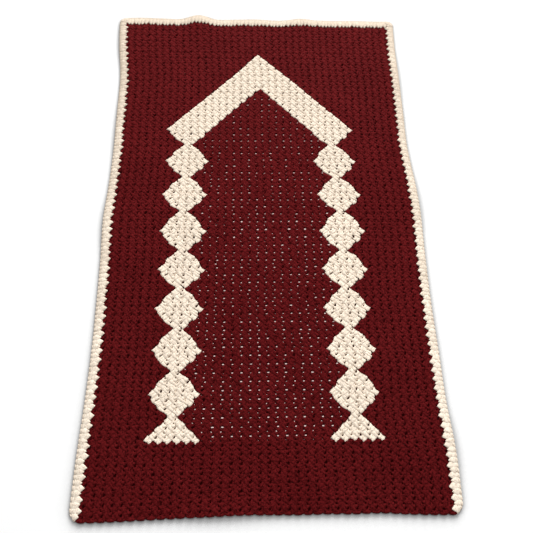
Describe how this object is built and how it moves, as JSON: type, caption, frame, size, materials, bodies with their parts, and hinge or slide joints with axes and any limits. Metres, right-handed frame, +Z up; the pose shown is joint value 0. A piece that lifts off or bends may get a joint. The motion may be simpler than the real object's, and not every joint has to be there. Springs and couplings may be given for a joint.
{
  "type": "crochet prayer mat",
  "caption": "Flat crochet prayer mat, worked in leaning stitch clusters, with a toothed crocheted edging on both long edges and the head edge and a bare scalloped foot edge.",
  "frame": {"origin": "centre of the mat's bounding box, on the ground it lies on", "axes": "+Z up out of the upper face, +Y along the mat from the foot end to the head end where the arch points, +X across it to the right"},
  "size_m": [0.7196, 1.2084, 0.0135],
  "materials": {
    "burgundy_yarn": "matte, chunky acrylic yarn",
    "cream_yarn": "matte, chunky acrylic yarn"
  },
  "bodies": {
    "root": {"field": "burgundy_yarn", "edging": "cream_yarn"}
  },
  "joints": []
}
